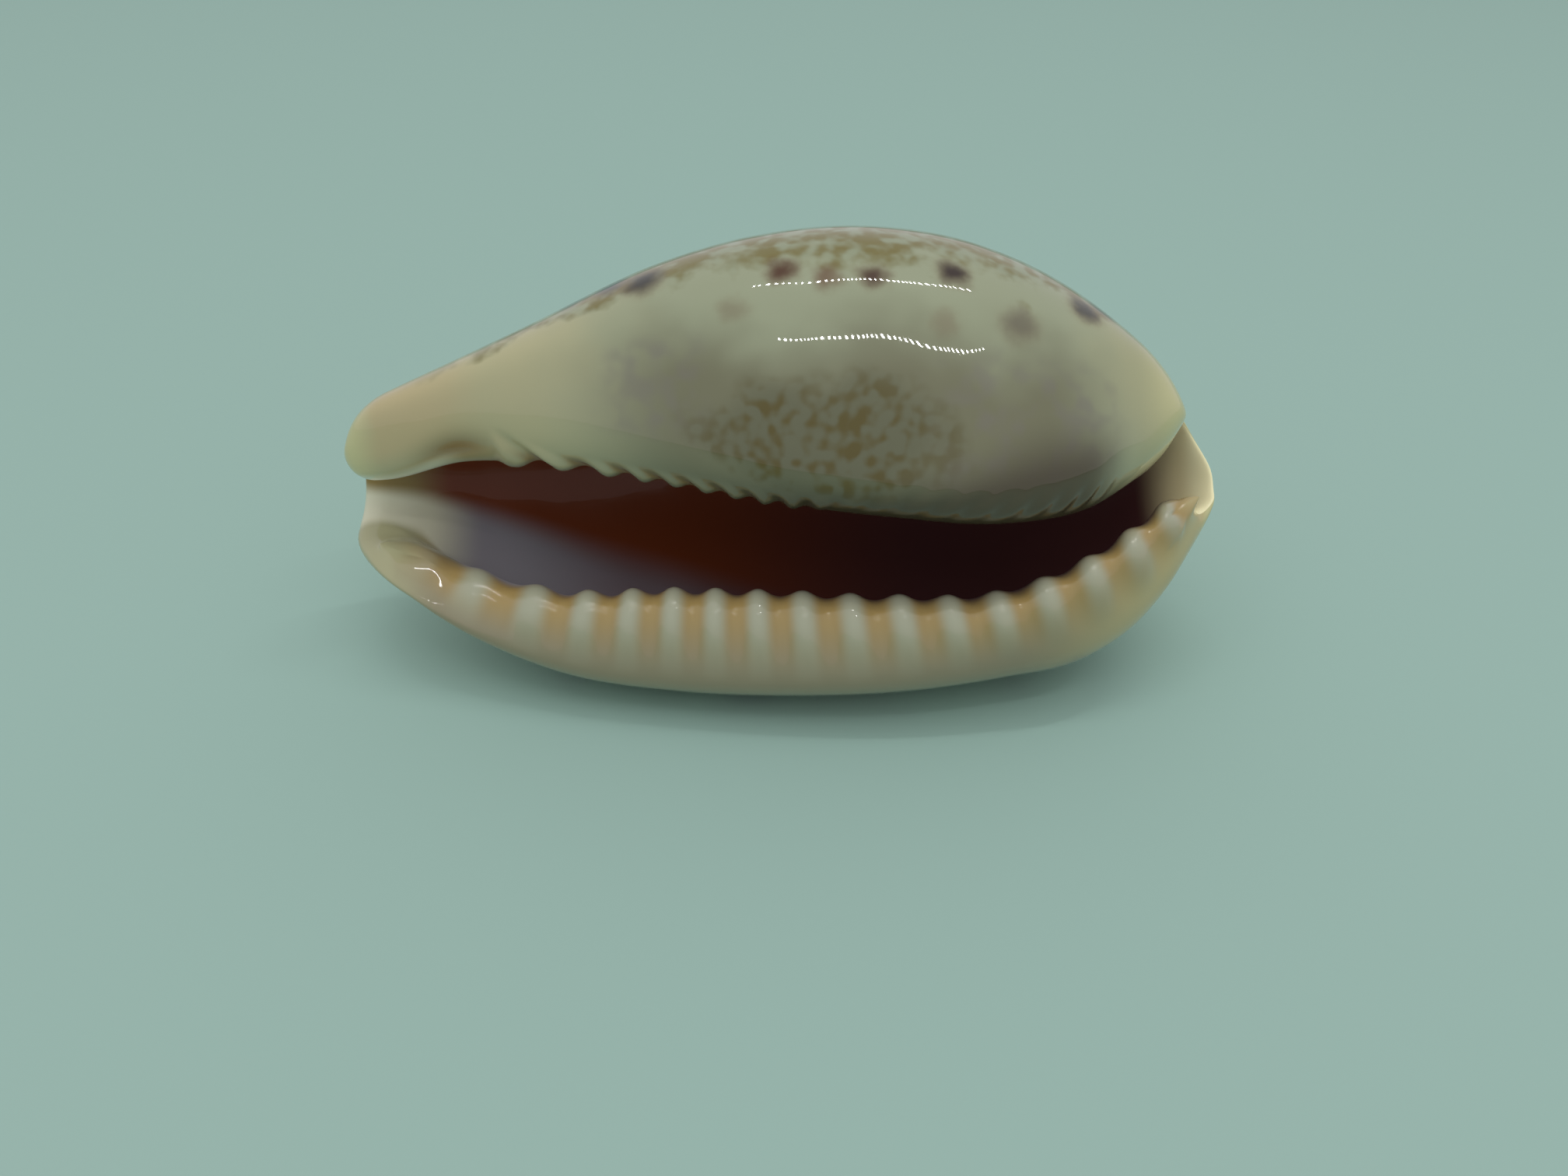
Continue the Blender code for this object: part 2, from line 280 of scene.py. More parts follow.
shell_mesh = bpy.data.meshes.new("shell_enamelled")
face_list = []
uv_list = []
for i in range(rows - 1):
    for j in range(columns):
        ring = faces[i * columns + j]
        uvs = [(length_share[i], across[j]), (length_share[i], across[j + 1]),
               (length_share[i + 1], across[j + 1]), (length_share[i + 1], across[j])]
        corners = []
        for vertex, uv in zip(ring.tolist(), uvs):
            if vertex not in corners:
                corners.append(vertex)
                uv_list.append(uv)
        face_list.append(corners)
shell_mesh.from_pydata(vertices.reshape(-1, 3)[used].tolist(), [], face_list)
bake_uv = shell_mesh.uv_layers.new(name="OFBake")
bake_uv.data.foreach_set("uv", np.array(uv_list, dtype=np.float32).ravel())
shell_mesh.shade_smooth()


def store(name, values):
    """Keeps one number for each mesh point, for the teeth and the enamel to read."""
    layer = shell_mesh.attributes.new(name, "FLOAT", "POINT")
    layer.data.foreach_set("value", np.asarray(values, dtype=np.float32).ravel()[used])


# Teeth: numbered ridges that cross both lips, where they sit, and where they fade out.
OUTER_TOOTH_X = [-.470, -.346, -.276, .024, .239, .392, .455]
OUTER_TOOTH_NO = [-1, 1, 2, 8, 12, 15, 16.4]
INNER_TOOTH_X = [-.288, -.235, -.182, -.074, .049, .170, .294, .365]
INNER_TOOTH_NO = [1, 2, 3, 6, 10, 14, 18, 21]
OUTER_TOOTH_HEIGHT = 0.0100 * SHELL_LENGTH
INNER_TOOTH_HEIGHT = 0.0060 * SHELL_LENGTH
TOOTH_VALLEY = 0.35        # share of a tooth's height that is cut below the lip between teeth
HOLLOW_DEPTH = 0.007 * SHELL_LENGTH      # dimple on the inner lip ahead of its first tooth
HOLLOW_X, HOLLOW_T = -0.350, 9.85        # its middle, and half its size both ways
HOLLOW_HALF_X, HOLLOW_HALF_T = 0.040, 0.55
FOLD_EDGE = 10.3                         # spline place of the edge of the inner lip
OUTER_FAN = 0.045                        # how much the outer teeth spread down the lip


def band(value, first, full, last_full, last):
    """1 from full to last_full, and 0 before first and after last."""
    return ramp(first, full, value) * (1 - ramp(last_full, last, value))


outer_reach = band(signed_t, -1.3, -0.4, 0.4, 1.3) * band(x_grid, -0.480, -0.320, 0.430, 0.470)
fan = 1 - OUTER_FAN * np.maximum(signed_t, 0)
store("outer_number", curve(x_grid * fan, OUTER_TOOTH_X, OUTER_TOOTH_NO))
store("outer_reach", outer_reach)

# The inner teeth are boldest and start furthest out in front, and lean the other way behind.
bolder = 1 + 0.6 * (1 - ramp(-0.24, -0.10, x_grid)) - 0.6 * ramp(0.00, 0.14, x_grid)
first_t = 10.00 - 0.85 * (1 - ramp(-0.32, -0.22, x_grid)) - 0.55 * ramp(0.00, 0.15, x_grid)
last_t = 13.0 - 2.6 * ramp(-0.06, 0.08, x_grid)
inner_reach = band(t_grid, first_t - 0.15, first_t + 0.35, last_t - 0.7, last_t) * bolder
inner_reach = inner_reach * band(x_grid, -0.312, -0.292, 0.350, 0.385)
lean = 0.030 - 0.065 * ramp(-0.10, 0.22, x_grid)
leaning_x = x_grid - lean * np.minimum(t_grid - FOLD_EDGE, 0)
store("inner_number", curve(leaning_x, INNER_TOOTH_X, INNER_TOOTH_NO))
store("inner_reach", inner_reach)
store("hollow", np.exp(-((x_grid - HOLLOW_X) / HOLLOW_HALF_X) ** 2
                       - ((t_grid - HOLLOW_T) / HOLLOW_HALF_T) ** 2))

# Where each point is: along the axis, round the loop from the outer-lip crest (0) to the
# fold (11), and how far inside the mouth (below 0 on the outside of the wall).
store("along", x_grid)
store("around", np.minimum(t_grid, SPANS - t_grid))
from_edge = np.minimum(np.abs(signed_t), FOLD_TIP - np.abs(signed_t))
store("inside", np.where(t_grid > FOLD_TIP, from_edge, -from_edge))


def add(tree, kind, links=(), **settings):
    """Adds a node: settings by name, and links as (socket, what feeds it)."""
    node = tree.nodes.new(kind)
    for name, value in settings.items():
        setattr(node, name, value)
    for socket, source in dict(links).items():
        target = node.inputs[socket]
        if isinstance(source, bpy.types.NodeSocket):
            tree.links.new(source, target)
        else:
            target.default_value = source
    return node


teeth = bpy.data.node_groups.new("lip teeth", "GeometryNodeTree")
for label, kind in (("Geometry", "NodeSocketGeometry"), ("Outer tooth height", "NodeSocketFloat"),
                    ("Inner tooth height", "NodeSocketFloat"), ("Valley", "NodeSocketFloat"),
                    ("Hollow depth", "NodeSocketFloat"), ("Enamel", "NodeSocketMaterial")):
    teeth.interface.new_socket(label, in_out="INPUT", socket_type=kind)
teeth.interface.new_socket("Geometry", in_out="OUTPUT", socket_type="NodeSocketGeometry")
given = add(teeth, "NodeGroupInput").outputs
stored = {name: add(teeth, "GeometryNodeInputNamedAttribute", {"Name": name},
                    data_type="FLOAT").outputs[0]
          for name in ("outer_number", "outer_reach", "inner_number", "inner_reach", "hollow")}

# Each lip has rounded ridges, one at each whole number: 1 on the crowns, 0 in the valleys.
ridged = given["Geometry"]
lifts = []
for lip, height in (("outer", given["Outer tooth height"]), ("inner", given["Inner tooth height"])):
    turn = add(teeth, "ShaderNodeMath", {0: stored[lip + "_number"], 1: 2 * math.pi},
               operation="MULTIPLY")
    wave = add(teeth, "ShaderNodeMath", {0: turn.outputs[0]}, operation="COSINE")
    ridge = add(teeth, "ShaderNodeMapRange", {"Value": wave.outputs[0], "From Min": -1.0},
                interpolation_type="LINEAR").outputs[0]
    ridged = add(teeth, "GeometryNodeStoreNamedAttribute",
                 {"Geometry": ridged, "Name": lip + "_ridge", "Value": ridge},
                 data_type="FLOAT").outputs[0]
    for operation, amount in (("SUBTRACT", given["Valley"]), ("MULTIPLY", stored[lip + "_reach"]),
                              ("MULTIPLY", height)):
        ridge = add(teeth, "ShaderNodeMath", {0: ridge, 1: amount}, operation=operation).outputs[0]
    lifts.append(ridge)
dimple = add(teeth, "ShaderNodeMath", {0: stored["hollow"], 1: given["Hollow depth"]},
             operation="MULTIPLY")
lift = add(teeth, "ShaderNodeMath", {0: lifts[0], 1: lifts[1]}, operation="ADD")
lift = add(teeth, "ShaderNodeMath", {0: lift.outputs[0], 1: dimple.outputs[0]}, operation="SUBTRACT")
normal = add(teeth, "GeometryNodeInputNormal").outputs[0]
offset = add(teeth, "ShaderNodeVectorMath", {0: normal, "Scale": lift.outputs[0]}, operation="SCALE")
raised = add(teeth, "GeometryNodeSetPosition", {"Geometry": ridged, "Offset": offset.outputs[0]})
realised = add(teeth, "GeometryNodeRealizeInstances", {"Geometry": raised.outputs[0]})
covered = add(teeth, "GeometryNodeSetMaterial",
              {"Geometry": realised.outputs[0], "Material": given["Enamel"]})
add(teeth, "NodeGroupOutput", {"Geometry": covered.outputs[0]})


def srgb(hex_text):
    """Linear RGBA of an sRGB hex colour."""
    parts = [int(hex_text[i:i + 2], 16) / 255 for i in (0, 2, 4)]
    return tuple(c / 12.92 if c <= 0.04045 else ((c + 0.055) / 1.055) ** 2.4 for c in parts) + (1.0,)


# Enamel: aragonite laid down by the mantle and left as polished as glazed porcelain.  The
# eye gets a thin mirror-bright skin over a soft, milky body colour.
enamel = bpy.data.materials.new("cowrie enamel")
enamel.use_nodes = True
coat = enamel.node_tree
coat.nodes.clear()
place = add(coat, "ShaderNodeTexCoord").outputs["Object"]
along, around_loop, inside, outer_ridge, inner_ridge, hollow = [
    add(coat, "ShaderNodeAttribute", attribute_name=name).outputs["Fac"]
    for name in ("along", "around", "inside", "outer_ridge", "inner_ridge", "hollow")]

# Mottling in the enamel: the size of its cells in millimetres, and how ragged they are.
MOTTLE = {"round drift": (5.0, 3.0), "long drift": (4.0, 3.0), "net edge": (1.6, 3.0),
          "net": (0.50, 0.6), "net clumps": (1.5, 1.0), "freckles": (0.36, 0.3),
          "freckle clumps": (1.2, 1.0), "clouds": (0.8, 1.0), "swellings": (2.6, 1.0),
          "ripple": (0.20, 0.0)}
mottle = {name: add(coat, "ShaderNodeTexNoise", {"Vector": place, "Scale": 1000 / cell_mm,
                    "Detail": ragged}).outputs["Fac"] for name, (cell_mm, ragged) in MOTTLE.items()}


def wander(measure, name, reach):
    """The measure thrown off by mottling, up to half of reach each way, so its limits waver."""
    value = mottle[name]
    for operation, amount in (("SUBTRACT", 0.5), ("MULTIPLY", reach), ("ADD", measure)):
        value = add(coat, "ShaderNodeMath", {0: value, 1: amount}, operation=operation).outputs[0]
    return value


def spread(*limits):
    """Where a colour lies: the product of its limits.  Each is a share, or a soft limit
    (measure, none, full), with the least and most that it lets through if not 0 and 1."""
    share = None
    for limit in limits:
        if isinstance(limit, tuple):
            measure, none, full, least, most = limit if len(limit) == 5 else limit + (0.0, 1.0)
            limit = add(coat, "ShaderNodeMapRange", {"Value": measure, "From Min": none, "From Max": full,
                        "To Min": least, "To Max": most}, interpolation_type="SMOOTHSTEP").outputs[0]
        if share is not None:
            limit = add(coat, "ShaderNodeMath", {0: share, 1: limit}, operation="MULTIPLY").outputs[0]
        share = limit
    return share


UNDER, OVER = 6, 7         # the two colour sockets of a Mix node


def lay(ground, *coats):
    """Lays coats of colour over a ground, one on the other: each a colour and its limits."""
    for pigment, *limits in coats:
        ground = add(coat, "ShaderNodeMix", {"Factor": spread(*limits), UNDER: ground, OVER: pigment},
                     data_type="RGBA").outputs[2]
    return ground


outside_share = spread((inside, 0.25, -0.05))
x_loose = wander(along, "long drift", 0.16)
t_loose = wander(around_loop, "round drift", 1.6)

# Body colour: cream at the narrow front, grey-olive in the middle where the dark inside
# shows through the thin wall, cream again behind, yellower on both tips, and grey on the
# base, partly its own colour and partly painted shade on its downward-facing side.
FRONT_CREAM = srgb("B5B08A")
MIDDLE_OLIVE = srgb("9BA185")
REAR_CREAM = srgb("A6A682")
# Base grey: partly its own colour, partly painted shade on the downward-facing base.
BASE_GREY_AND_SHADE = srgb("747359")
FLANK_CREAM = srgb("AAAB91")
TIP_YELLOW = srgb("C6C291")
PEACH = srgb("BDA377")
colour = lay(
    MIDDLE_OLIVE,
    (FRONT_CREAM, (x_loose, -0.07, -0.27)),
    (REAR_CREAM, (x_loose, 0.30, 0.43)),
    (BASE_GREY_AND_SHADE, (t_loose, 7.5, 8.4), (along, -0.24, -0.08, 0.10, 1.0), (along, 0.41, 0.29)),
    (FLANK_CREAM, (t_loose, 3.6, 2.8)),
    (PEACH, (x_loose, -0.47, -0.43), (x_loose, -0.30, -0.40), (around_loop, 9.9, 9.0), 0.42),
    (TIP_YELLOW, (along, -0.43, -0.475)),
    (TIP_YELLOW, (along, 0.40, 0.46)))

# Back: a pale bluish ground under a fine tan net, with one chestnut blotch in its middle
# and a fainter one low on the flank.
BACK_GROUND = srgb("8A9275")
NET_TAN = srgb("716522")
BLOTCH_CHESTNUT = srgb("6E4A2A")
net_bound = wander(around_loop, "net edge", 1.5)
net = wander(mottle["net"], "net clumps", 0.5)
on_back = spread((net_bound, 2.7, 3.1), (net_bound, 7.35, 7.0), (x_loose, -0.40, -0.28),
                 (x_loose, 0.43, 0.36))
colour = lay(
    colour,
    (BACK_GROUND, on_back, 0.75),
    (NET_TAN, (net, 0.26, 0.62), on_back, 0.9),
    (BLOTCH_CHESTNUT, (x_loose, -0.25, -0.19), (x_loose, 0.25, 0.19), (t_loose, 2.75, 3.05),
     (t_loose, 5.6, 5.0), (net, 0.40, 0.50, 0.45, 0.9)),
    (BLOTCH_CHESTNUT, (x_loose, -0.08, -0.03), (x_loose, 0.14, 0.09), (t_loose, 2.05, 2.25),
     (t_loose, 2.65, 2.45), 0.35))

# Base beside the inner lip: small olive-brown freckles that run together on an olive
# ground, which is darkened with painted shade, and larger mauve-grey clouds behind and
# ahead of them.
OLIVE_GROUND_AND_SHADE = srgb("5F6048")
FRECKLE_BROWN = srgb("56490A")
MAUVE = srgb("76716A")
PATCH_MIDDLE = (0.050, 9.00, 0.0)        # along the axis and round the loop
PATCH_HALF = (0.135, 0.80, 1.0)
patch_place = add(coat, "ShaderNodeCombineXYZ", {0: x_loose, 1: t_loose}).outputs[0]
for operation, amount in (("SUBTRACT", PATCH_MIDDLE), ("DIVIDE", PATCH_HALF)):
    patch_place = add(coat, "ShaderNodeVectorMath", {0: patch_place, 1: amount},
                      operation=operation).outputs[0]
patch_far = add(coat, "ShaderNodeVectorMath", {0: patch_place, 1: patch_place}, operation="DOT_PRODUCT")
patch = spread((patch_far.outputs["Value"], 1.35, 0.35), outside_share)
freckle = wander(mottle["freckles"], "freckle clumps", 0.7)
cloud = spread((mottle["clouds"], 0.40, 0.75), outside_share, 0.5)
colour = lay(
    colour,
    (OLIVE_GROUND_AND_SHADE, patch, 0.80),
    (FRECKLE_BROWN, (freckle, 0.36, 0.76), patch, 0.9),
    (MAUVE, (along, 0.14, 0.24), (along, 0.40, 0.34), (around_loop, 7.8, 8.3),
     (around_loop, 9.6, 9.2), cloud),
    (MAUVE, (along, -0.20, -0.14), (along, -0.05, -0.09), (around_loop, 7.8, 8.1),
     (around_loop, 9.3, 8.8), cloud))

# Inner lip: ochre in the dimple and between the front teeth, partly painted shade in these
# hollows; brown along the edge behind, where the brown starts further out, partly painted
# shade on its downward-facing side; and pale cream on the front roll, painted bounce light.
OCHRE_AND_SHADE = srgb("8F764C")
# Brown edge: its own colour darkened with painted shade where the inner lip faces down.
EDGE_BROWN_AND_SHADE = srgb("403724")
# Pale cream: painted bounce light on the downward-facing underside of the front roll.
ROLL_PAINTED_LIGHT = srgb("D9DAC0")
TOOTH_PALE = srgb("A8A88A")
brown_from = add(coat, "ShaderNodeMath", {0: around_loop, 1: spread((along, 0.05, 0.32, 0.0, 0.95))},
                 operation="ADD").outputs[0]
colour = lay(
    colour,
    (OCHRE_AND_SHADE, (around_loop, 9.7, 10.3), (along, -0.33, -0.28), (along, 0.02, -0.12),
     (inner_ridge, 0.8, 0.15), 0.8),
    (TOOTH_PALE, (around_loop, 9.7, 10.1), (along, -0.31, -0.29), (along, 0.39, 0.34), outside_share,
     (inner_ridge, 0.15, 0.8), 0.25),
    (OCHRE_AND_SHADE, hollow),
    (EDGE_BROWN_AND_SHADE, (brown_from, 9.35, 10.15), (along, -0.12, 0.06), (along, 0.40, 0.33), 0.9),
    (ROLL_PAINTED_LIGHT, (around_loop, 9.9, 10.4), (along, -0.34, -0.39), outside_share))

# Outer lip: a ground partly darkened with painted shade, paler behind, warm tan between the
# teeth, strongest at the crest, and white tooth crowns, which are shorter behind.
LIP_BASE_AND_SHADE = srgb("8F876D")
LIP_REAR = srgb("B7AB7D")
LIP_TAN = srgb("A68E5B")
RIDGE_WHITE = srgb("A8A993")
LOBE_CREAM = srgb("A8A683")
lip_field = lay(LIP_BASE_AND_SHADE, (LIP_REAR, (along, 0.25, 0.42)))
crown_from = add(coat, "ShaderNodeMath", {0: around_loop, 1: spread((along, 0.1, 0.45, 0.0, 0.4))},
                 operation="ADD").outputs[0]
colour = lay(
    colour,
    (lip_field, (around_loop, 2.3, 1.5), (inside, 2.0, 1.0)),
    (LOBE_CREAM, (around_loop, 4.2, 3.0), (along, -0.38, -0.45)),
    (LIP_TAN, (around_loop, 1.30, 0.25), (along, -0.455, -0.36), (along, 0.495, 0.45)),
    (RIDGE_WHITE, (outer_ridge, 0.10, 1.00), (crown_from, 1.60, 0.30), (along, -0.44, -0.34),
     (along, 0.480, 0.440)))

# Marks along both margins, each a soft stain under the glaze with a browner rim.
SPOTS = [
    # along, around, radius in mm, strength, hex colour
    (-.210, 6.78, 0.9, 0.8, "2C2824"), (-.168, 6.88, 1.0, 1.0, "1C1814"),
    (-.128, 7.08, 1.0, 1.0, "1C1814"), (-.031, 7.7, 0.7, 0.35, "776B54"),
    (.020, 7.35, 0.7, 0.95, "4A2606"), (.069, 7.47, 0.7, 0.65, "5E3414"),
    (.117, 7.44, 0.7, 0.95, "402206"), (.204, 7.33, 0.8, 1.0, "2C1A10"),
    (.190, 7.8, 0.7, 0.35, "7C6E58"), (.270, 7.7, 0.9, 0.55, "585048"),
    (.352, 7.2, 0.9, 0.95, "2C2A2A"), (.376, 6.9, 0.8, 0.7, "444042"),
    (-.356, 3.0, 0.9, 0.7, "55524E"), (-.401, 3.3, 1.0, 0.5, "6E6E70"),
    (-.311, 2.6, 0.6, 0.3, "807460"), (-.259, 2.5, 0.9, 0.8, "4A3A2C"),
    (-.220, 2.95, 0.8, 0.7, "5A3A22"), (-.168, 2.75, 1.0, 0.9, "3E2616"),
    (-.145, 2.2, 0.7, 0.4, "7A7060"), (-.044, 2.4, 1.2, 0.95, "30241C"),
    (-.070, 2.15, 0.8, 0.35, "6C675E"), (.105, 2.6, 1.0, 0.85, "50301C"),
    (.129, 2.2, 1.0, 0.45, "6A6864"), (.273, 2.4, 1.0, 0.8, "40362C"),
    (.377, 2.3, 1.1, 0.8, "3E3C40"), (.410, 2.3, 1.0, 0.6, "4A484C"),
    (.327, 1.9, 1.0, 0.3, "757068"),
]
STAIN_RIM = srgb("6F4A18")
BLUR_CELL_MM = 0.9         # cells of the mottling that makes the edge of a mark wander
BLUR_REACH_MM = 0.7        # and how far
blur = add(coat, "ShaderNodeTexNoise", {"Vector": place, "Scale": 1000 / BLUR_CELL_MM, "Detail": 3.0})
stained = add(coat, "ShaderNodeVectorMath", {0: blur.outputs["Color"], 1: (0.5, 0.5, 0.5)},
              operation="SUBTRACT").outputs[0]
stained = add(coat, "ShaderNodeVectorMath", {0: stained, "Scale": BLUR_REACH_MM / 1000},
              operation="SCALE").outputs[0]
stained = add(coat, "ShaderNodeVectorMath", {0: place, 1: stained}, operation="ADD").outputs[0]
for spot_along, spot_around, radius_mm, strength, hex_colour in SPOTS:
    centre = tuple(spot_place(spot_along, spot_around))
    distance = add(coat, "ShaderNodeVectorMath", {0: stained, 1: centre},
                   operation="DISTANCE").outputs["Value"]
    radius = radius_mm / 1000
    colour = lay(
        colour,
        (STAIN_RIM, (distance, 1.15 * radius, 0.30 * radius, 0.0, 0.45 * strength), outside_share),
        (srgb(hex_colour), (distance, 0.95 * radius, 0.10 * radius, 0.0, strength), outside_share))

# Inside: red-brown, partly a painted glow of light coming through the thin wall, darker
# behind, with a lilac wash behind the outer lip that pales to the front, and a beige rim at
# the rear notch, brightened with painted light where the notch lies in shade.
# Red-brown: partly its own colour, partly a painted glow of light through the thin wall.
INNER_BROWN_AND_GLOW = srgb("7A3C22")
INNER_DARK = srgb("5D3939")
DEEP_PURPLE = srgb("5A4249")
VIOLET = srgb("817379")
LILAC = srgb("99969E")
INNER_WHITE = srgb("D6D5BD")
INNER_TAN = srgb("8E7A48")
# Beige and cream of the rear notch: their own colour brightened with painted light where the notch lies in
# shade.
REAR_BEIGE_AND_LIGHT = srgb("F6E8B8")
RIM_CREAM_AND_LIGHT = srgb("FAF2C6")
WASH_SLANT = 2.57          # how steeply the edge of the wash climbs towards the front
wash = lay(
    DEEP_PURPLE,
    (VIOLET, (along, 0.02, -0.16)),
    (LILAC, (along, -0.17, -0.33)),
    (INNER_WHITE, (along, -0.36, -0.42)))
washed = add(coat, "ShaderNodeMath", {0: along, 1: WASH_SLANT, 2: around_loop},
             operation="MULTIPLY_ADD").outputs[0]
inner_colour = lay(
    INNER_BROWN_AND_GLOW,
    (INNER_DARK, (along, -0.15, 0.20)),
    (INNER_TAN, (along, -0.39, -0.44)),
    (wash, (washed, 3.472, 3.022)),
    (REAR_BEIGE_AND_LIGHT, (along, 0.440, 0.480)),
    (RIM_CREAM_AND_LIGHT, (along, 0.480, 0.494)))
past_roll = add(coat, "ShaderNodeMath", {0: inside, 1: spread((along, -0.35, -0.43, 0.0, 2.6))},
                operation="SUBTRACT").outputs[0]
within = spread((past_roll, 0.25, 0.95))
colour = lay(colour, (inner_colour, within))

# The glaze follows slow swellings of the shell, with a fine ripple on top, and is thinner
# inside the mouth.
SWELL_MM = 0.040
RIPPLE_MM = 0.0002
GLAZE_IOR = 1.53
ripple = add(coat, "ShaderNodeMath", {0: mottle["ripple"], 1: RIPPLE_MM}, operation="MULTIPLY").outputs[0]
uneven = add(coat, "ShaderNodeMath", {0: mottle["swellings"], 1: SWELL_MM, 2: ripple},
             operation="MULTIPLY_ADD").outputs[0]
bump = add(coat, "ShaderNodeBump", {"Height": uneven, "Strength": 1.0, "Distance": 0.001}).outputs[0]
skin = add(coat, "ShaderNodeBsdfPrincipled", {
    "Base Color": colour, "Roughness": 0.32, "IOR": GLAZE_IOR, "Specular IOR Level": 0.1,
    "Coat Weight": spread((within, 0.0, 1.0, 1.0, 0.25)), "Coat Roughness": 0.02, "Coat IOR": GLAZE_IOR,
    "Normal": bump, "Coat Normal": bump})
add(coat, "ShaderNodeOutputMaterial", {"Surface": skin.outputs[0]})

shell = bpy.data.objects.new("shell_enamelled", shell_mesh)
bpy.context.collection.objects.link(shell)
lip_teeth = shell.modifiers.new("lip teeth", "NODES")
lip_teeth.node_group = teeth
settings = {"Outer tooth height": OUTER_TOOTH_HEIGHT, "Inner tooth height": INNER_TOOTH_HEIGHT,
            "Valley": TOOTH_VALLEY, "Hollow depth": HOLLOW_DEPTH, "Enamel": enamel}
for item in teeth.interface.items_tree:
    if item.in_out == "INPUT" and item.name in settings:
        lip_teeth[item.identifier] = settings[item.name]
bpy.context.view_layer.update()
toothed = shell.evaluated_get(bpy.context.evaluated_depsgraph_get())
finished = bpy.data.meshes.new_from_object(toothed)
shell.modifiers.remove(lip_teeth)
shell.data = finished
finished.name = "shell_enamelled"
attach(shell, "root")
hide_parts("shell")


# ---- floor and backdrop ------------------------------------------------------------
# A plain pale sheet of matt card with a faint cool tint, laid flat under the shell and
# far past it on all sides.

FLOOR_COLOUR = "9FBDB4"
REACH = 3.0                # metres from the middle to each side
floor_mesh = bpy.data.meshes.new("floor")
floor_mesh.from_pydata([(-REACH, -REACH, 0), (REACH, -REACH, 0), (REACH, REACH, 0), (-REACH, REACH, 0)],
                       [], [(0, 1, 2, 3)])
floor = bpy.data.objects.new("floor", floor_mesh)
bpy.context.collection.objects.link(floor)
sheet = bpy.data.materials.new("matt pale sheet")      # card: no gloss, one even colour
sheet.use_nodes = True
sheet_skin = sheet.node_tree.nodes["Principled BSDF"]
sheet_skin.inputs["Base Color"].default_value = srgb(FLOOR_COLOUR)
sheet_skin.inputs["Roughness"].default_value = 0.9
sheet_skin.inputs["Specular IOR Level"].default_value = 0.1
floor_mesh.materials.append(sheet)


# ---- light -------------------------------------------------------------------------
# Two bowed strips of small white lamps, one above and one in front, which draw the two
# beaded lines on the glaze, a soft box that gives no reflection, and light from all round.

LAMP_PITCH = 0.0052        # metres from one lamp to the next
LAMP_LONG = 0.0017
lamp_glow = bpy.data.materials.new("small white lamp")
lamp_glow.use_nodes = True
lamp_glow.node_tree.nodes.clear()
glow = add(lamp_glow.node_tree, "ShaderNodeEmission", {"Strength": 80.0})
add(lamp_glow.node_tree, "ShaderNodeOutputMaterial", {"Surface": glow.outputs[0]})


def lamp_strip(name, wide, start, middle, end):
    """A row of small flat lamps on a bowed strip through three points."""
    a, m, b = Vector(start), Vector(middle), Vector(end)
    bend = 2 * m - (a + b) / 2
    count = int((b - a).length / LAMP_PITCH)
    corners = []
    for k in range(count + 1):
        share = k / count
        spot = a * (1 - share) ** 2 + bend * 2 * share * (1 - share) + b * share ** 2
        run = ((bend - a) * (1 - share) + (b - bend) * share).normalized()
        side = run.cross(Vector((0, 0, 1))).normalized() * wide / 2
        half = run * LAMP_LONG / 2
        corners += [spot - half - side, spot + half - side, spot + half + side, spot - half + side]
    strip_mesh = bpy.data.meshes.new(name)
    strip_mesh.from_pydata(corners, [], [range(i, i + 4) for i in range(0, len(corners), 4)])
    strip_mesh.materials.append(lamp_glow)
    strip = bpy.data.objects.new(name, strip_mesh)
    bpy.context.collection.objects.link(strip)


lamp_strip("strip above", 0.005, (-0.058, -0.008, 0.25), (0.036, 0.000, 0.25), (0.130, 0.050, 0.25))
lamp_strip("strip in front", 0.003, (-0.048, -0.141, 0.235), (0.048, -0.124, 0.235), (0.145, -0.068, 0.235))

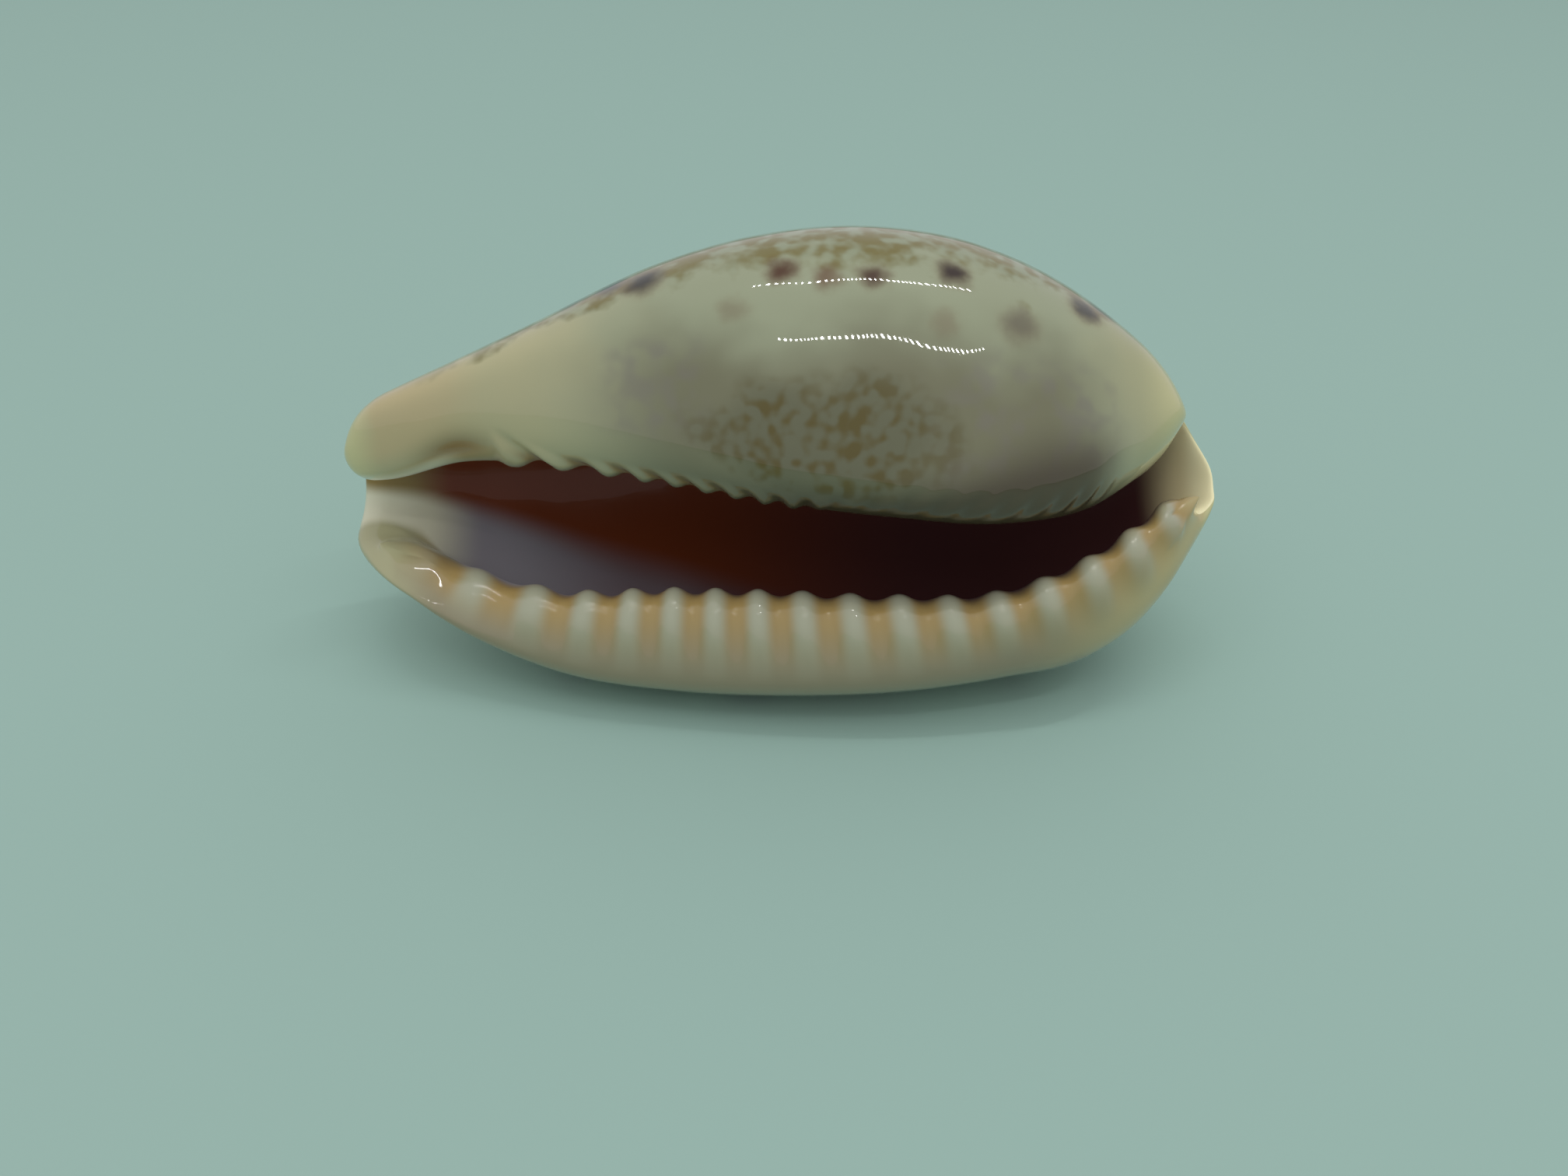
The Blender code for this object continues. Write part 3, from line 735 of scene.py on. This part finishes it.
BOX_LEFT, BOX_RIGHT = Vector((-0.45, -0.22, 0.46)), Vector((0.15, -0.22, 0.46))
BOX_WIDE = 0.45
BOX_WATTS = 0.50
SHELL_MIDDLE = Vector((0, 0, 0.008))
box_light = bpy.data.lights.new("soft box", "AREA")
box_light.shape = "RECTANGLE"
box_light.size = (BOX_RIGHT - BOX_LEFT).length
box_light.size_y = BOX_WIDE
box_light.energy = BOX_WATTS
soft_box = bpy.data.objects.new("soft box", box_light)
box_middle = (BOX_LEFT + BOX_RIGHT) / 2
box_run = (BOX_RIGHT - BOX_LEFT).normalized()
box_back = box_middle - SHELL_MIDDLE
box_back = (box_back - box_run * box_back.dot(box_run)).normalized()
box_turn = Matrix((box_run, box_back.cross(box_run), box_back)).transposed().to_4x4()
soft_box.matrix_world = Matrix.Translation(box_middle) @ box_turn
soft_box.visible_glossy = False
bpy.context.collection.objects.link(soft_box)

WORLD_STRENGTH = 0.61
world = bpy.data.worlds.new("studio")
world.use_nodes = True
world.node_tree.nodes["Background"].inputs["Color"].default_value = (1, 1, 1, 1)
world.node_tree.nodes["Background"].inputs["Strength"].default_value = WORLD_STRENGTH
bpy.context.scene.world = world


# ---- camera ------------------------------------------------------------------------
# Stands close in front of the shell and a little above it, and looks down on the mouth.
# It is tilted a little on its own axis.

EYE = Vector((0.00046, -0.04415, 0.03111))
AIM = Vector((0.00012, -0.00005, 0.00164))
TILT = math.radians(2.3)
camera = bpy.data.cameras.new("camera")
camera.lens = 32.5
camera.sensor_width = 36
camera.clip_start = 0.001
viewer = bpy.data.objects.new("camera", camera)
forward = (AIM - EYE).normalized()
level = forward.cross(Vector((0, 0, 1))).normalized()
upright = level.cross(forward)
sideways = level * math.cos(TILT) + upright * math.sin(TILT)
upwards = upright * math.cos(TILT) - level * math.sin(TILT)
viewer.matrix_world = Matrix.Translation(EYE) @ Matrix((sideways, upwards, -forward)).transposed().to_4x4()
bpy.context.collection.objects.link(viewer)
bpy.context.scene.camera = viewer
bpy.context.scene.view_settings.view_transform = "Standard"
